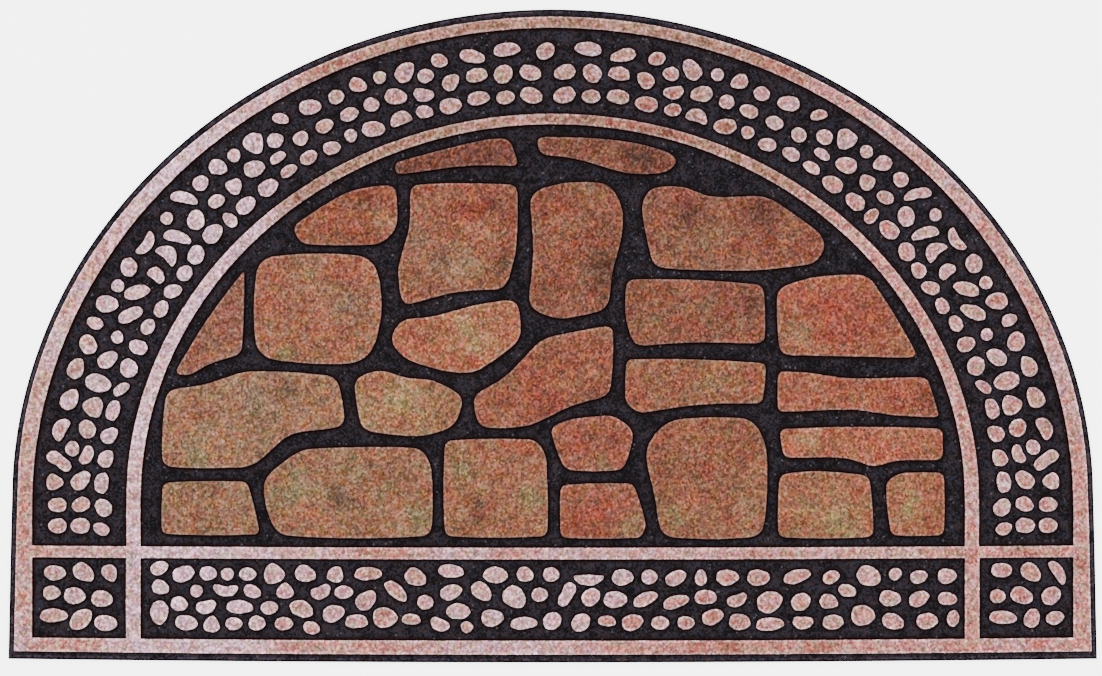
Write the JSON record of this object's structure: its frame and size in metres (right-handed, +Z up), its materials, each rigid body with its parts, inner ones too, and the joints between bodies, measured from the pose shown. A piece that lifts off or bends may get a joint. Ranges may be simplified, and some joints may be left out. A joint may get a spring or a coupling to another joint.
{
  "type": "half-round doormat",
  "caption": "Half-round rubber doormat with a raised, flocked pattern of border bands, pebbles and flagstones; lies flat at a door.",
  "frame": {"origin": "centre of the mat's bounding box on its underside, which is at Z = 0", "axes": "+X along the straight edge, +Y from the straight edge towards the crown of the arch, +Z up through the face that is walked on"},
  "size_m": [0.762, 0.4572, 0.0075],
  "materials": {
    "rubber": "matt charcoal moulded rubber with a fine crumb grain",
    "border_flock": "short dusty pink and beige flock, softly mottled",
    "stone_flock": "short terracotta flock with olive and ochre blotches"
  },
  "bodies": {
    "root": {"mat": "rubber"}
  },
  "joints": []
}
